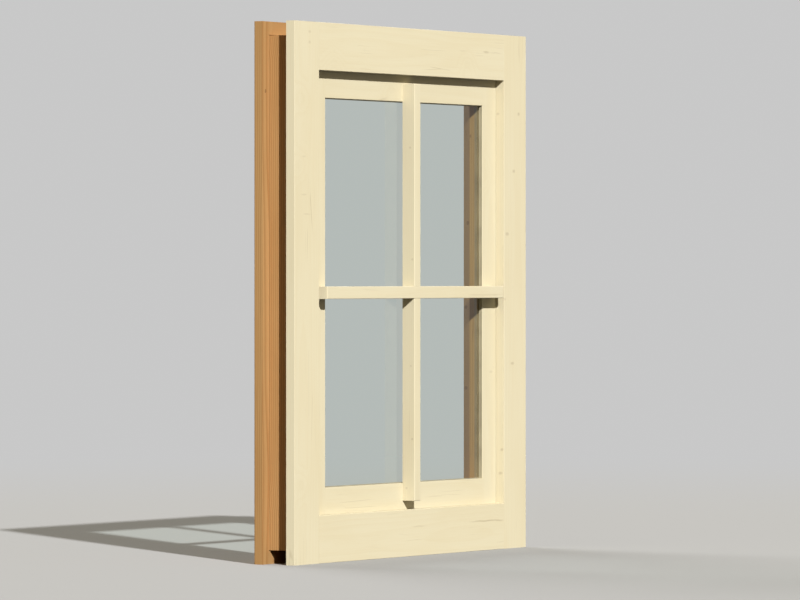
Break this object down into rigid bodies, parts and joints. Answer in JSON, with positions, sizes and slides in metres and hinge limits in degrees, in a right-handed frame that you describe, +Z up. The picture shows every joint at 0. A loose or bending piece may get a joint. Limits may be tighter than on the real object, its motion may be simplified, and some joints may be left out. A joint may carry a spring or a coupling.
{
  "type": "tilt and turn window",
  "caption": "Timber tilt and turn window with a flat outer casing, a set-back sash, a planted cross of glazing bars and a clamping inner trim for a log wall.",
  "frame": {"origin": "on the back face of the bottom casing rail, midway along it, in the strip that laps over the wall", "axes": "+X along the wall, to the right as seen from outdoors; +Y through the wall into the room; +Z up"},
  "size_m": [0.69, 0.093, 0.78],
  "materials": {
    "painted_timber": "ivory paint with faint grain",
    "bare_timber": "natural spruce, satin",
    "glass": "clear",
    "seal": "matte grey",
    "fittings": "satin"
  },
  "bodies": {
    "root": {"casing_left_stile": "painted_timber", "casing_right_stile": "painted_timber", "casing_top_rail": "painted_timber", "casing_bottom_rail": "painted_timber", "sash_left_stile": "painted_timber", "sash_right_stile": "painted_timber", "sash_top_rail": "painted_timber", "sash_bottom_rail": "painted_timber", "vertical_bar": "painted_timber", "horizontal_bar": "painted_timber", "frame_left_jamb": "bare_timber", "frame_right_jamb": "bare_timber", "frame_head": "bare_timber", "frame_sill": "bare_timber", "inner_trim_left": "bare_timber", "inner_trim_right": "bare_timber", "inner_trim_top": "bare_timber", "inner_trim_bottom": "bare_timber", "glazing_bead_left": "bare_timber", "glazing_bead_right": "bare_timber", "glazing_bead_top": "bare_timber", "glazing_bead_bottom": "bare_timber", "glass_pane": "glass", "glazing_seal_left": "seal", "glazing_seal_right": "seal", "glazing_seal_top": "seal", "glazing_seal_bottom": "seal", "handle_rosette": "fittings", "handle_lever": "fittings", "lower_hinge_bracket": "fittings", "lower_hinge_knuckle": "fittings", "upper_hinge_bracket": "fittings", "upper_hinge_knuckle": "fittings"}
  },
  "joints": []
}
